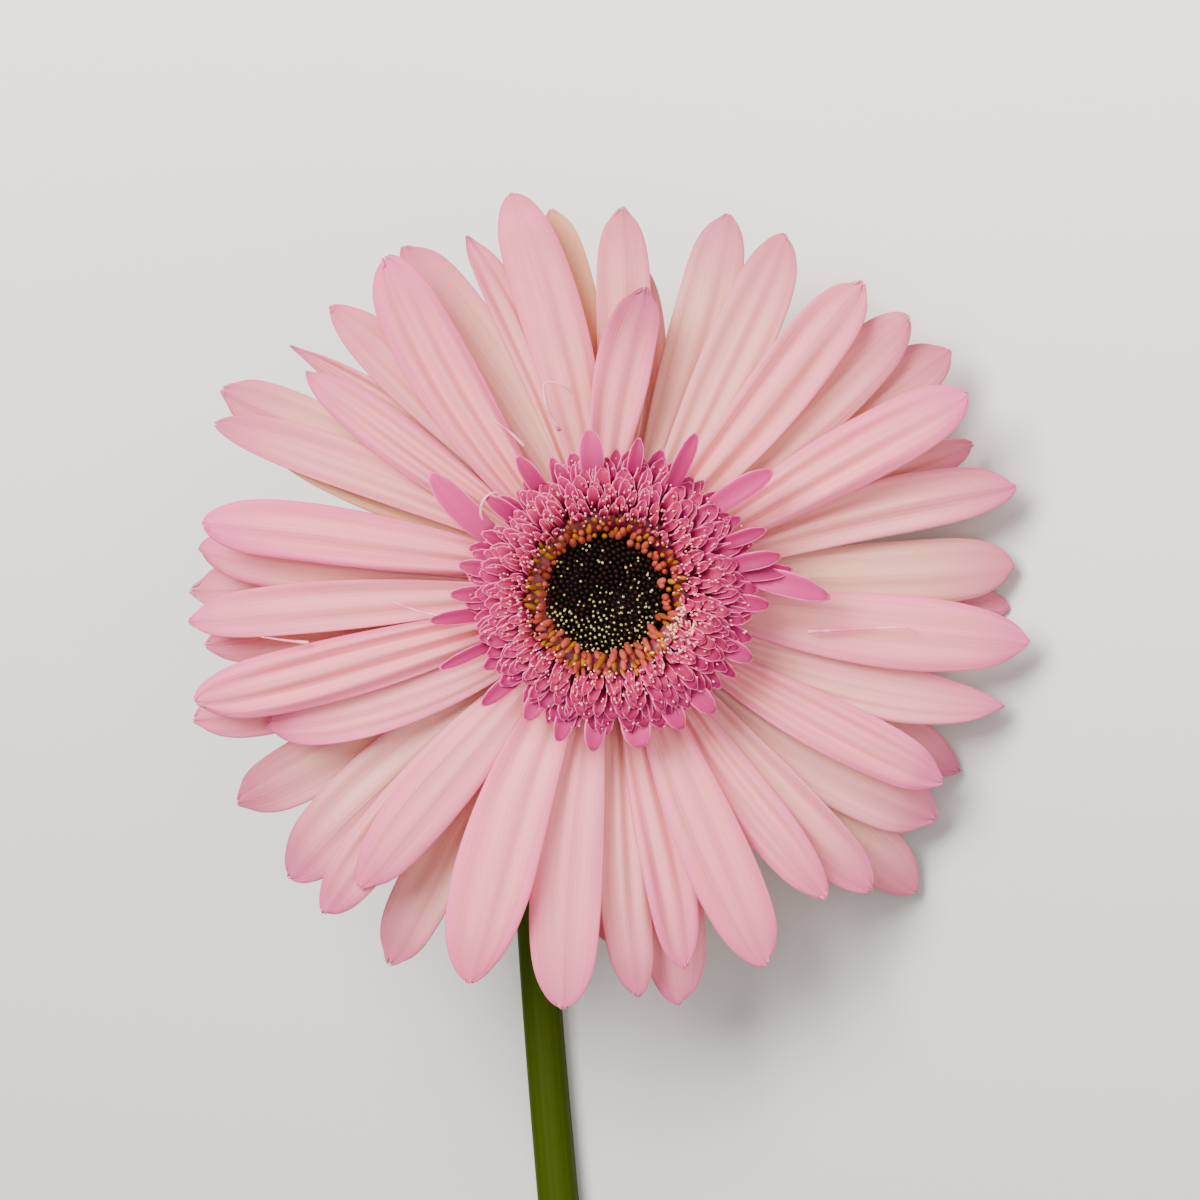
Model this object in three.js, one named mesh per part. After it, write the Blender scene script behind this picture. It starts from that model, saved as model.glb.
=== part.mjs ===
// A cut gerbera lying on a table. The stem lies along -Y, its neck bends up behind the flower head, and the
// head leans over to +X on the tips of its lowest petals, face up.
// Millimetres and degrees, +Z up, the table is the plane z = 0.
import * as THREE from "three";

const { clamp, degToRad, lerp } = THREE.MathUtils;

// ---- Driving dimensions ----
const GAP = 0.35; // clearance between pieces that grow out of each other
const FLOWER_RADIUS = 55; // from the middle of the head to the tip of an ordinary petal
const HEAD_LEAN = 30; // how far the face turns from straight up towards +X

const DISC_RADIUS = 8; // the dark dome of disc florets
const DISC_HEIGHT = 4;
const DISC_DISH = 0.9; // how far the middle of the dome is sunk
const FLORET_BAND = 4; // width of the band round the disc where the trans florets are rooted
const RECEPTACLE_RADIUS = DISC_RADIUS + FLORET_BAND; // top of the stem, which carries every floret
const RECEPTACLE_RIM = 6; // height of its upright rim, where the petals are rooted
const RECEPTACLE_DEPTH = 12; // from the middle of the rim down to the neck

const STEM_LENGTH = 260;
const NECK_RADIUS = 2.7;
const CUT_RADIUS = 3.6;
const STEM_SIDES = 14;
const NECK_DROP = 17; // length over which the neck still points straight away from the face
const NECK_REACH = 38; // how far along -Y the stem comes down onto the table
const NECK_SIDE_STEP = 29; // and how far along -X
const STEM_TURN = 4; // the lying stem turns this far towards +X
const STEM_BOW = 9; // and bows sideways by this much

const RAY_SIDES = 6;
const RAY_STEPS = 8; // lengthwise steps of a petal
const RAY_WIDTH = 8; // an ordinary petal at its widest
const RAY_ROOT_WIDTH = 1.8;
const RAY_TIP_WIDTH = 1.8;
const WIDEST_AT = 0.66; // share of a petal's length at which it is widest
const RAY_THICKNESS = 0.7; // at the midrib, thinning to the edges
const RAY_CHANNEL = 0.12; // how fast a petal rises from its midrib to its edges
const TIER_STEP = 1.15; // height between one tier of petals and the next, at the root
const TIER_RISE = 2; // degrees that each tier slopes up more than the one behind it
const MEAN_RISE = 2; // degrees that the middle tier slopes up
const CUP_LIFT = 5; // petal tips at +Y stand this much higher than at +X, those at -Y this much lower
const RAY_DROOP = 2.4; // how far a petal's tip bends back from its slope

// Petals, in turn round the head from +X towards +Y: bearing of the root and of the tip in degrees, reach as a
// share of the flower's radius, greatest width as a share of an ordinary petal's, and the tier that the petal
// grows in, from 0 at the back to 4 in front.
const MIDDLE_TIER = 2;
const RAYS = [
  { root: 7, tip: 3.5, reach: 0.96, width: 1.06, tier: 1 },
  { root: 18, tip: 14.5, reach: 0.99, width: 0.92, tier: 2 },
  { root: 24, tip: 22, reach: 0.93, width: 0.68, tier: 0 },
  { root: 29, tip: 29, reach: 0.96, width: 1.02, tier: 4 },
  { root: 36, tip: 35.5, reach: 0.99, width: 1, tier: 1 },
  { root: 43, tip: 43, reach: 0.96, width: 1.02, tier: 2 },
  { root: 51, tip: 51.5, reach: 0.94, width: 1, tier: 3 },
  { root: 62, tip: 64, reach: 0.94, width: 1, tier: 2 },
  { root: 71, tip: 73, reach: 0.94, width: 1, tier: 1 },
  { root: 79, tip: 87, reach: 0.8, width: 0.88, tier: 0 },
  { root: 88, tip: 88.5, reach: 0.91, width: 0.95, tier: 2 },
  { root: 92, tip: 84, reach: 0.72, width: 0.72, tier: 4 },
  { root: 94, tip: 99.5, reach: 0.92, width: 0.82, tier: 1 },
  { root: 100.5, tip: 104.5, reach: 0.97, width: 0.98, tier: 3 },
  { root: 107, tip: 111.5, reach: 0.91, width: 0.65, tier: 2 },
  { root: 114, tip: 121, reach: 0.96, width: 0.92, tier: 1 },
  { root: 134, tip: 124.5, reach: 0.95, width: 1.06, tier: 4 },
  { root: 131, tip: 134.5, reach: 0.95, width: 0.88, tier: 2 },
  { root: 137, tip: 142.5, reach: 0.96, width: 0.68, tier: 1 },
  { root: 145.5, tip: 143.5, reach: 0.89, width: 0.78, tier: 3 },
  { root: 149, tip: 152.5, reach: 1.05, width: 1, tier: 0 },
  { root: 151, tip: 157, reach: 1.02, width: 0.8, tier: 2 },
  { root: 157, tip: 156, reach: 0.9, width: 0.75, tier: 1 },
  { root: 164.5, tip: 170, reach: 0.98, width: 0.92, tier: 4 },
  { root: 171, tip: 173, reach: 0.74, width: 0.42, tier: 3 },
  { root: 174, tip: 174.5, reach: 0.99, width: 0.92, tier: 2 },
  { root: 177, tip: 179.5, reach: 1.01, width: 0.88, tier: 0 },
  { root: 182, tip: 184, reach: 1.01, width: 0.8, tier: 3 },
  { root: 186, tip: 187.5, reach: 0.98, width: 0.88, tier: 1 },
  { root: 195.5, tip: 195, reach: 1.02, width: 1, tier: 4 },
  { root: 200, tip: 197.5, reach: 1.05, width: 1, tier: 2 },
  { root: 212, tip: 201, reach: 0.88, width: 0.85, tier: 3 },
  { root: 210.5, tip: 209.5, reach: 1.04, width: 1.05, tier: 0 },
  { root: 218, tip: 221, reach: 1.04, width: 1.1, tier: 1 },
  { root: 225, tip: 227.5, reach: 1.04, width: 0.92, tier: 2 },
  { root: 228.5, tip: 229, reach: 0.93, width: 0.88, tier: 3 },
  { root: 236, tip: 239, reach: 1.05, width: 1, tier: 0 },
  { root: 243, tip: 250, reach: 0.99, width: 1.28, tier: 4 },
  { root: 257, tip: 263, reach: 1, width: 1.15, tier: 3 },
  { root: 265, tip: 269, reach: 0.84, width: 0.68, tier: 0 },
  { root: 271.5, tip: 273, reach: 0.97, width: 0.82, tier: 2 },
  { root: 281, tip: 279.5, reach: 1, width: 1.08, tier: 1 },
  { root: 279.5, tip: 281.5, reach: 0.91, width: 0.82, tier: 3 },
  { root: 290, tip: 292.5, reach: 0.96, width: 1.08, tier: 4 },
  { root: 302, tip: 305.5, reach: 0.89, width: 0.88, tier: 3 },
  { root: 308, tip: 311, reach: 0.94, width: 0.94, tier: 2 },
  { root: 316, tip: 315.5, reach: 1.03, width: 1, tier: 0 },
  { root: 315.5, tip: 325, reach: 0.95, width: 1.06, tier: 1 },
  { root: 325, tip: 330.5, reach: 0.91, width: 0.95, tier: 3 },
  { root: 334, tip: 333, reach: 0.94, width: 0.88, tier: 0 },
  { root: 335, tip: 343.5, reach: 0.97, width: 0.95, tier: 2 },
  { root: 352, tip: 353, reach: 1, width: 1.2, tier: 3 },
  { root: 358, tip: 357.5, reach: 0.95, width: 0.85, tier: 0 },
];

// Heights in the head are measured from the middle of the receptacle's rim.
const RIM_TOP = RECEPTACLE_RIM / 2;
const NECK_HEIGHT = -RECEPTACLE_DEPTH;

// ---- Materials ----
const COLOURS = { petal: 0xf0c0c8, floret: 0xd978a6, bud: 0xc98238, disc: 0x2e1512, bract: 0x5f7d2e, stem: 0x6b8236 };
const ROUGHNESS = { petal: 0.6, floret: 0.6, bud: 0.65, disc: 0.7, bract: 0.6, stem: 0.55 };

function piece(name, geometry, kind) {
  const material = new THREE.MeshStandardMaterial({ color: COLOURS[kind], roughness: ROUGHNESS[kind], metalness: 0 });
  const mesh = new THREE.Mesh(geometry, material);
  mesh.name = name;
  return mesh;
}

// A closed rod, every vertex of which is set by place: it is given how far the vertex lies across the rod and over
// it, each -1 to 1, and its step along the rod.
function rod(sides, steps, place) {
  const geometry = new THREE.CylinderGeometry(1, 1, steps, sides, steps);
  const at = geometry.getAttribute("position");
  for (let i = 0; i < at.count; i++) {
    const p = place(at.getX(i), at.getZ(i), Math.round(steps / 2 - at.getY(i)));
    at.setXYZ(i, p.x, p.y, p.z);
  }
  return geometry;
}

// ---- Ray petals ----
const RAY_START = RECEPTACLE_RADIUS + GAP;

// The share of its greatest width that a petal has at u, from 0 at the root to 1 at the tip.
function outline(u) {
  if (u < WIDEST_AT) return lerp(0.25, 1, Math.sin((Math.PI / 2) * (u / WIDEST_AT)) ** 0.8);
  return Math.sqrt(1 - ((u - WIDEST_AT) / (1 - WIDEST_AT)) ** 2.6);
}

// Height of the midribs of a tier, at a radius and a bearing in radians.
function tierHeight(tier, radius, bearing) {
  const above = tier - MIDDLE_TIER;
  const out = radius - RAY_START;
  const share = out / (FLOWER_RADIUS - RAY_START);
  const slope = Math.tan(degToRad(MEAN_RISE + TIER_RISE * above));
  return TIER_STEP * above + slope * out + CUP_LIFT * Math.sin(bearing) * share ** 2 - RAY_DROOP * share ** 3;
}

function makeRay(ray, index) {
  const midrib = (u) => {
    const radius = lerp(RAY_START, ray.reach * FLOWER_RADIUS, u);
    const bearing = degToRad(lerp(ray.root, ray.tip, u));
    const height = tierHeight(ray.tier, radius, bearing);
    return new THREE.Vector3(radius * Math.cos(bearing), radius * Math.sin(bearing), height);
  };
  const geometry = rod(RAY_SIDES, RAY_STEPS, (across, over, step) => {
    const u = step / RAY_STEPS;
    const least = lerp(RAY_ROOT_WIDTH, RAY_TIP_WIDTH, u);
    const half = Math.max(least, ray.width * RAY_WIDTH * outline(u)) / 2;
    const along = midrib(u + 0.01).sub(midrib(u - 0.01)).normalize();
    const side = new THREE.Vector3(0, 0, 1).cross(along).normalize();
    const up = along.clone().cross(side);
    const lift = RAY_CHANNEL * half * Math.abs(across) + (RAY_THICKNESS / 2) * over;
    return midrib(u).addScaledVector(side, half * across).addScaledVector(up, lift);
  });
  return piece("ray_" + String(index + 1).padStart(2, "0"), geometry, "petal");
}

// ---- The receptacle's outside, as a radius at a height ----
function wallRadius(height) {
  const t = (-RIM_TOP - height) / (-RIM_TOP - NECK_HEIGHT);
  return lerp(NECK_RADIUS, RECEPTACLE_RADIUS, Math.cos((Math.PI / 2) * clamp(t, 0, 1)) ** 2);
}

// ---- Whorls: rings of pointed lobes round the head, each lobe following a curve of [radius, height] ----
const BAND = FLORET_BAND;
const DISC = DISC_RADIUS;
const WALL = RECEPTACLE_RADIUS;
const FOOT = RIM_TOP + GAP;
const BRACT_CLEARANCE = 1;
const WHORLS = [
  {
    name: "bracts_outer", kind: "bract", lobes: 13, split: 0.55, thickness: 0.8,
    curve: [
      [wallRadius(0.93 * NECK_HEIGHT) + BRACT_CLEARANCE, 0.94 * NECK_HEIGHT], [0.7 * WALL, 0.84 * NECK_HEIGHT],
      [WALL, 0.64 * NECK_HEIGHT], [WALL + 2.6, 0.56 * NECK_HEIGHT],
    ],
  },
  {
    name: "bracts_inner", kind: "bract", lobes: 16, split: 0.6, thickness: 0.8,
    curve: [
      [wallRadius(0.72 * NECK_HEIGHT) + BRACT_CLEARANCE, 0.74 * NECK_HEIGHT], [0.85 * WALL, 0.63 * NECK_HEIGHT],
      [WALL + 2, 0.46 * NECK_HEIGHT], [WALL + 6, 0.39 * NECK_HEIGHT],
    ],
  },
  {
    name: "trans_florets_outer", kind: "floret", lobes: 24, split: 0.45, thickness: 0.8,
    curve: [
      [DISC + 0.8 * BAND, FOOT], [DISC + BAND, FOOT + 3.4], [WALL + 4, FOOT + 4.6], [WALL + 8.5, FOOT + 4.4],
    ],
  },
  {
    name: "trans_florets_inner", kind: "floret", lobes: 22, split: 0.5, thickness: 0.8,
    curve: [
      [DISC + 0.5 * BAND, FOOT], [DISC + 0.5 * BAND, FOOT + 4], [WALL + 0.2, FOOT + 6], [WALL + 3.2, FOOT + 7.2],
    ],
  },
  {
    name: "floret_buds", kind: "bud", lobes: 20, split: 0.6, thickness: 0.8,
    curve: [
      [DISC + 0.2 * BAND, FOOT], [DISC + 0.2 * BAND, FOOT + 2], [DISC + 0.2 * BAND, FOOT + 4], [DISC + 0.4, FOOT + 5.4],
    ],
  },
];
const WHORL_STEPS = 3; // steps along a lobe, on its underside and again on its upper side
const LOBE_SHAPE = [0, 0.85, 1, 0.85]; // how far a lobe reaches from its split to its tip, across its width

// Outline of a lobe's section: out along the underside, round the tip and back over the top.
function lobeSection({ curve, thickness }, share) {
  const line = new THREE.CubicBezierCurve(...curve.map(([radius, height]) => new THREE.Vector2(radius, height)));
  const point = (t, side) => {
    const tangent = line.getTangent(t);
    const normal = new THREE.Vector2(-tangent.y, tangent.x);
    return line.getPoint(t).addScaledVector(normal, (side * thickness) / 2);
  };
  const under = Array.from({ length: WHORL_STEPS }, (_, i) => point((share * i) / WHORL_STEPS, -1));
  const over = Array.from({ length: WHORL_STEPS }, (_, i) => point((share * i) / WHORL_STEPS, 1));
  return [...under, point(share, 0), ...over.reverse(), under[0]];
}

function makeWhorl(whorl) {
  const sections = LOBE_SHAPE.map((part) => lobeSection(whorl, lerp(whorl.split, 1, part)));
  const turns = whorl.lobes * sections.length;
  const geometry = new THREE.LatheGeometry(sections[0], turns);
  const at = geometry.getAttribute("position");
  const points = sections[0].length;
  for (let i = 0; i < at.count; i++) {
    const turn = Math.floor(i / points) % turns;
    const { x: radius, y: height } = sections[turn % sections.length][i % points];
    const bearing = (turn / turns) * 2 * Math.PI;
    at.setXYZ(i, radius * Math.cos(bearing), radius * Math.sin(bearing), height);
  }
  return piece(whorl.name, geometry, whorl.kind);
}

// ---- Disc florets: a low dark dome, dished in the middle ----
function makeDisc() {
  const top = FOOT + DISC_HEIGHT;
  const edge = DISC_RADIUS;
  const profile = [
    [0, FOOT], [0.92 * edge, FOOT], [edge, FOOT + 0.6], [edge, top - 1], [0.86 * edge, top],
    [0.5 * edge, top - 0.4 * DISC_DISH], [0, top - DISC_DISH],
  ].map(([radius, height]) => new THREE.Vector2(radius, height));
  return piece("disc_florets", new THREE.LatheGeometry(profile, 28).rotateX(Math.PI / 2), "disc");
}

// ---- The head, leaning on its lowest petals ----
const head = new THREE.Group();
head.rotation.y = degToRad(HEAD_LEAN);
head.add(...RAYS.map(makeRay), ...WHORLS.map(makeWhorl), makeDisc());
head.position.z = -new THREE.Box3().setFromObject(head, true).min.z;
head.updateMatrixWorld(true);

// ---- The stem, widening at its top into the receptacle ----
const top = head.localToWorld(new THREE.Vector3(0, 0, RIM_TOP));
const neck = head.localToWorld(new THREE.Vector3(0, 0, NECK_HEIGHT));
const CUP_LENGTH = RIM_TOP - NECK_HEIGHT;

function stemPath() {
  const away = neck.clone().sub(top).normalize();
  const course = new THREE.Vector3(Math.sin(degToRad(STEM_TURN)), -Math.cos(degToRad(STEM_TURN)), 0);
  const touch = new THREE.Vector3(-NECK_SIDE_STEP, -NECK_REACH, NECK_RADIUS);
  const bend = new THREE.CubicBezierCurve3(
    neck,
    neck.clone().addScaledVector(away, NECK_DROP),
    touch.clone().addScaledVector(course, -0.6 * NECK_REACH),
    touch,
  );
  const lying = STEM_LENGTH - bend.getLength();
  const end = touch.clone().addScaledVector(course, lying);
  const bow = new THREE.Vector3(-course.y, course.x, 0).multiplyScalar(STEM_BOW);
  const path = new THREE.CurvePath();
  path.add(new THREE.LineCurve3(top, neck));
  path.add(bend);
  path.add(new THREE.CubicBezierCurve3(touch, touch.clone().lerp(end, 0.33), touch.clone().lerp(end, 0.67).add(bow), end));
  return path;
}

function makeStem() {
  const path = stemPath();
  const [cup, bent, whole] = path.getCurveLengths();
  const stops = [];
  const stopEvery = (from, to, count) => {
    for (let i = 0; i < count; i++) stops.push(lerp(from, to, i / count));
  };
  stops.push(0);
  stopEvery(RECEPTACLE_RIM, cup, 7);
  stopEvery(cup, bent, 16);
  stopEvery(bent, whole, 16);
  stops.push(whole);

  const rings = [];
  const across = new THREE.Vector3(0, 1, 0);
  let before;
  for (const stop of stops) {
    const centre = path.getPoint(stop / whole);
    const along = path.getTangent(stop / whole);
    if (before) across.applyQuaternion(new THREE.Quaternion().setFromUnitVectors(before, along));
    before = along;
    const grown = lerp(NECK_RADIUS, CUT_RADIUS, Math.max(0, stop - bent) / (whole - bent));
    const radius = stop < cup ? wallRadius(RIM_TOP - stop) : grown;
    if (stop > bent) centre.z = radius;
    rings.push({ centre, radius, side: across.clone(), over: along.clone().cross(across) });
  }
  const geometry = rod(STEM_SIDES, rings.length - 1, (x, z, step) => {
    const { centre, radius, side, over } = rings[step];
    return centre.clone().addScaledVector(side, radius * x).addScaledVector(over, radius * z);
  });
  return piece("stem", geometry, "stem");
}

// ---- The whole flower, its box standing on the table and centred over the origin ----
const gerbera = new THREE.Group();
gerbera.name = "gerbera";
gerbera.add(makeStem(), head);
const box = new THREE.Box3().setFromObject(gerbera, true);
const middle = box.getCenter(new THREE.Vector3());
gerbera.position.set(-middle.x, -middle.y, -box.min.z);

export default gerbera;
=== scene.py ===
import math
import random

import bmesh
import bpy
import numpy as np
from bpy.props import FloatProperty, FloatVectorProperty, IntProperty, PointerProperty
from mathutils import Matrix, Vector


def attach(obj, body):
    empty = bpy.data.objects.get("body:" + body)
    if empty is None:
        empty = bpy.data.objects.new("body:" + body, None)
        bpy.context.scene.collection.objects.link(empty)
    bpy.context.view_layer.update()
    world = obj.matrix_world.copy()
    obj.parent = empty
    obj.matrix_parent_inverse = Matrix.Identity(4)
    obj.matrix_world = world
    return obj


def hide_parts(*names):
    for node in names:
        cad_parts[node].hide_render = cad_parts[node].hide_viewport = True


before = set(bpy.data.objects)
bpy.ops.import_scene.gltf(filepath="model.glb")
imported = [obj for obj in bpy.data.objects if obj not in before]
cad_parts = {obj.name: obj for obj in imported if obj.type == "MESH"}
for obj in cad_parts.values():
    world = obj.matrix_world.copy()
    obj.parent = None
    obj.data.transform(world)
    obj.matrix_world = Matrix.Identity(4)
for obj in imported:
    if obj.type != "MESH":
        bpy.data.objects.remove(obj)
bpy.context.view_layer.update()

bl_info = {
    "name": "Cut Gerbera",
    "version": (1, 0, 0),
    "blender": (4, 5, 0),
    "location": "3D View > Sidebar > Gerbera",
    "description": "Models a cut gerbera, petal by petal, on its design frame",
    "category": "Object",
}

MM = 0.001
SEED = 11


# -------------------------------------------------------------------------------------------------
# Curves, and reading the design frame
# -------------------------------------------------------------------------------------------------
def node_points(node):
    """The corners of a design node, each one once."""
    corners = [vert.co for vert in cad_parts[node].data.vertices]
    return np.unique(np.round(np.array(corners), 6), axis=0)


def lerp(a, b, t):
    """The value that is a share t of the way from a to b."""
    return a + (b - a) * t


def smooth(t):
    """Eases from 0 to 1 as t does, and stays there beyond."""
    t = min(1.0, max(0.0, t))
    return t * t * (3 - 2 * t)


def along(stops, t):
    """A smooth curve through evenly spaced stops, at t from 0 to 1."""
    last = len(stops) - 1
    x = min(max(t, 0.0), 1.0) * last
    i = min(int(x), last - 1)
    f = x - i
    p1, p2 = stops[i], stops[i + 1]
    p0 = stops[i - 1] if i else p1 * 2 - p2
    p3 = stops[i + 2] if i + 2 <= last else p2 * 2 - p1
    a = p1 * 2
    b = (p2 - p0) * f
    c = (p0 * 2 - p1 * 5 + p2 * 4 - p3) * (f * f)
    d = (p1 * 3 - p0 - p2 * 3 + p3) * (f * f * f)
    return (a + b + c + d) * 0.5


def heading(stops, t, reach):
    """The direction of the curve through the stops at t, taken over this reach on both sides."""
    return (along(stops, min(1, t + reach)) - along(stops, max(0, t - reach))).normalized()


class Head:
    """The flower head's own axes.

    Its face looks along out, and heights start where the florets are rooted.
    """

    def __init__(self):
        disc = node_points("disc_florets")
        middle = disc.mean(axis=0)
        _, axes = np.linalg.eigh(np.cov((disc - middle).T))
        self.out = Vector(axes[:, 0]) * (1 if axes[2, 0] > 0 else -1)
        self.up = (Vector((0, 1, 0)) - self.out * self.out.y).normalized()
        self.right = self.up.cross(self.out)
        foot = min((Vector(p) - Vector(middle)).dot(self.out) for p in disc)
        self.centre = Vector(middle) + self.out * foot

    def across(self, bearing):
        """The direction along the face at a bearing in degrees, turning from right to up."""
        turn = math.radians(bearing)
        return self.right * math.cos(turn) + self.up * math.sin(turn)

    def at(self, radius, bearing, height):
        """A point given in millimetres and degrees."""
        return self.centre + (self.across(bearing) * radius + self.out * height) * MM

    def reading(self, point):
        """(radius, bearing, height) of a point, in millimetres and degrees."""
        arm = (Vector(point) - self.centre) / MM
        a, b = arm.dot(self.right), arm.dot(self.up)
        return math.hypot(a, b), math.degrees(math.atan2(b, a)), arm.dot(self.out)


HEAD = Head()
RAY_NODES = sorted(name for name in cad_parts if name.startswith("ray_"))
RAY_STATIONS = 9
END_POINTS = 7  # corners that a ray petal's design solid has at its root, and at its tip


def ray_course(node):
    """The middle of a ray petal's design solid at each station, and its half width in mm."""
    points = [Vector(p) for p in node_points(node)]
    points.sort(key=lambda p: HEAD.reading(p)[0])
    root = sum(points[:END_POINTS], Vector()) / END_POINTS
    tip = sum(points[-END_POINTS:], Vector()) / END_POINTS
    chord = tip - root
    groups = [[] for _ in range(RAY_STATIONS)]
    for p in points:
        share = (p - root).dot(chord) / chord.length_squared
        groups[round(min(max(share, 0), 1) * (RAY_STATIONS - 1))].append(p)
    stops = [sum(g, Vector()) / len(g) for g in groups]
    half = max((p - stops[i]).length for i, g in enumerate(groups) for p in g)
    return stops, half / MM


def whorl_reach(node):
    """The (radius, height) where a whorl's design solid is rooted, and where it is widest."""
    readings = sorted(HEAD.reading(p)[::2] for p in node_points(node))
    count = max(4, len(readings) // 12)
    root = np.mean(readings[:count], axis=0)
    tip = np.mean(readings[-count:], axis=0)
    return root, tip


def stem_rings():
    """The middle and radius of each ring of the stem's design solid, from the cut end up."""
    mesh = bmesh.new()
    mesh.from_mesh(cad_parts["stem"].data)
    bmesh.ops.remove_doubles(mesh, verts=mesh.verts, dist=1e-6)
    low = min(v.co.y for v in mesh.verts)
    end = [v for v in mesh.verts if v.co.y < low + 0.5 * MM]
    middle = sum((v.co for v in end), Vector()) / len(end)
    ring = [min(end, key=lambda v: (v.co - middle).length)]
    seen = set(ring)
    rings = []
    while True:
        beside = [e.other_vert(v) for v in ring for e in v.link_edges]
        ring = [v for v in dict.fromkeys(beside) if v not in seen]
        if len(ring) < 3:
            break
        seen.update(ring)
        centre = sum((v.co for v in ring), Vector()) / len(ring)
        radius = sum((v.co - centre).length for v in ring) / len(ring)
        rings.append((centre, radius))
    mesh.free()
    return rings


# -------------------------------------------------------------------------------------------------
# Materials: arithmetic on the values in a material adds its Math nodes
# -------------------------------------------------------------------------------------------------
class Value:
    """The output of a node."""

    def __init__(self, finish, socket):
        self.finish = finish
        self.socket = socket

    def math(self, operation, *others, clamp=False):
        settings = {"operation": operation, "use_clamp": clamp}
        sockets = dict(enumerate((self, *others)))
        return self.finish.node("ShaderNodeMath", settings, sockets)

    def __add__(self, other):
        return self.math("ADD", other)

    __radd__ = __add__

    def __mul__(self, other):
        return self.math("MULTIPLY", other)

    __rmul__ = __mul__

    def __sub__(self, other):
        return self.math("SUBTRACT", other)

    def __rsub__(self, other):
        return self * -1 + other

    def __abs__(self):
        return self.math("ABSOLUTE")

    def clamped(self):
        return self.math("ADD", 0, clamp=True)

    def between(self, low, high):
        """0 up to low, 1 from high on, and smooth in between."""
        settings = {"interpolation_type": "SMOOTHSTEP"}
        sockets = {0: self, 1: low, 2: high, 3: 0, 4: 1}
        return self.finish.node("ShaderNodeMapRange", settings, sockets)


SCATTER = (37.0, 53.0, 91.0)  # how far apart the patterns of two tints are thrown


class Finish:
    """A material and its Principled shader."""

    def __init__(self, name, gloss=0.5):
        self.material = bpy.data.materials.new(name)
        self.material.use_nodes = True
        self.tree = self.material.node_tree
        self.shader = self.tree.nodes["Principled BSDF"]
        self.set("Specular IOR Level", gloss)

    def let_light_in(self, share, depths):
        """Lets a share of the light into the tissue, to these depths in metres for each colour."""
        self.set("Subsurface Weight", share)
        self.set("Subsurface Radius", depths)
        self.set("Subsurface Scale", 1.0)

    def put(self, socket, value):
        """Links a socket to a Value, or gives it a number, a vector or a colour."""
        if isinstance(value, Value):
            self.tree.links.new(value.socket, socket)
        elif socket.type == "RGBA":
            socket.default_value = (*value, 1)
        else:
            socket.default_value = value

    def set(self, socket, value):
        """Gives one of the shader's sockets a value or a link."""
        self.put(self.shader.inputs[socket], value)

    def node(self, kind, settings=None, sockets=None, out=0):
        """Adds any node: its settings first, then the values or links of its sockets."""
        made = self.tree.nodes.new(kind)
        for name, value in (settings or {}).items():
            setattr(made, name, value)
        for socket, value in (sockets or {}).items():
            self.put(made.inputs[socket], value)
        return Value(self, made.outputs[out])

    def mix(self, factor, a, b):
        """A colour that is a where factor is 0 and b where it is 1."""
        return self.node("ShaderNodeMix", {"data_type": "RGBA"}, {0: factor, 6: a, 7: b}, 2)

    def attribute(self):
        """The tint that each part of a piece carries, as a vector."""
        return self.node("ShaderNodeAttribute", {"attribute_name": "tint"}, out="Vector")

    def parts(self, vector):
        """The three components of a vector."""
        split = self.node("ShaderNodeSeparateXYZ", {}, {0: vector}).socket.node
        return [Value(self, output) for output in split.outputs]

    def tints(self):
        """The three shares of each part's tint."""
        return self.parts(self.attribute())

    def surface(self, stretch=(1, 1, 1)):
        """The piece's own UV map: (across, along, 0), stretched."""
        uv = self.node("ShaderNodeUVMap", {"uv_map": "UVMap"})
        return self.node("ShaderNodeMapping", {}, {"Vector": uv, "Scale": stretch})

    def scattered(self, stretch):
        """The stretched UV map moved by each part's own tint, so that each has its own pattern."""
        sockets = {0: self.attribute(), 1: SCATTER, 2: self.surface(stretch)}
        return self.node("ShaderNodeVectorMath", {"operation": "MULTIPLY_ADD"}, sockets)

    def across_and_along(self):
        """How near a point lies to the side edges, and how far along from the root, 0 to 1."""
        across, length, _ = self.parts(self.surface())
        return abs(across * 2 - 1), length

    def place(self):
        """Where a point lies in the scene, in metres."""
        return self.node("ShaderNodeTexCoord", out="Object")

    def noise(self, where, scale, detail, roughness=0.5):
        sockets = {"Vector": where, "Scale": scale, "Detail": detail, "Roughness": roughness}
        return self.node("ShaderNodeTexNoise", {}, sockets)

    def bump(self, height, distance, strength=0.5):
        sockets = {"Height": height, "Distance": distance, "Strength": strength}
        self.set("Normal", self.node("ShaderNodeBump", {}, sockets))


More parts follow.
